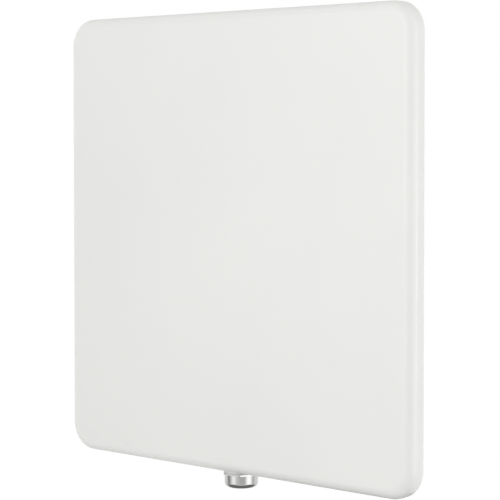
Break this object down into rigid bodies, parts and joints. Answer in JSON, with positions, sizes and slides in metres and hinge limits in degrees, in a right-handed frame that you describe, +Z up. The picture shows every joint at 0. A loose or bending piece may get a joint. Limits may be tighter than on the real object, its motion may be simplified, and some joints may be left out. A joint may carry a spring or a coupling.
{
  "type": "flat panel antenna",
  "caption": "Square flat panel antenna: off-white radome, rear cover with a pan, patch array on a ground plate, one coaxial jack in the lower edge, rear mounting threads.",
  "frame": {"origin": "centre of the four rear mounting threads, on the flat back face", "axes": "the front face looks along -Y, +Y leaves the back face along the mounting threads, +Z is up and the jack points along -Z"},
  "size_m": [0.216, 0.021, 0.2235],
  "materials": {
    "radome_white": "satin moulded",
    "cover_grey": "fine moulded texture",
    "seal_rubber": "matt",
    "screw_steel": "bright turned",
    "plate_aluminium": "mill finish",
    "board_laminate": "woven laminate",
    "track_copper": "etched copper",
    "probe_brass": "turned",
    "nylon": "natural nylon",
    "patch_aluminium": "mill finish",
    "bush_steel": "plated, turned",
    "jack_chrome": "bright plated",
    "insulator_white": "natural fluoropolymer",
    "contact_gold": "gilt",
    "vent_grey": "moulded",
    "membrane_white": "porous film"
  },
  "bodies": {
    "root": {"radome": "radome_white", "back_cover": "cover_grey", "cover_gasket": "seal_rubber", "cover_screws": "screw_steel", "reflector_plate": "plate_aluminium", "plate_screws": "screw_steel", "feed_board": "board_laminate", "feed_tracks": "track_copper", "feed_probes": "probe_brass", "patch_posts": "nylon", "patch_screws": "nylon", "patch_upper_left": "patch_aluminium", "patch_upper_right": "patch_aluminium", "patch_lower_left": "patch_aluminium", "patch_lower_right": "patch_aluminium", "mount_bushes": "bush_steel", "bush_seals": "seal_rubber", "jack_shell": "jack_chrome", "jack_insulator": "insulator_white", "jack_contact": "contact_gold", "jack_gasket": "seal_rubber", "jack_washer": "nylon", "jack_screws": "screw_steel", "vent_plug": "vent_grey", "vent_membrane": "membrane_white"}
  },
  "joints": []
}
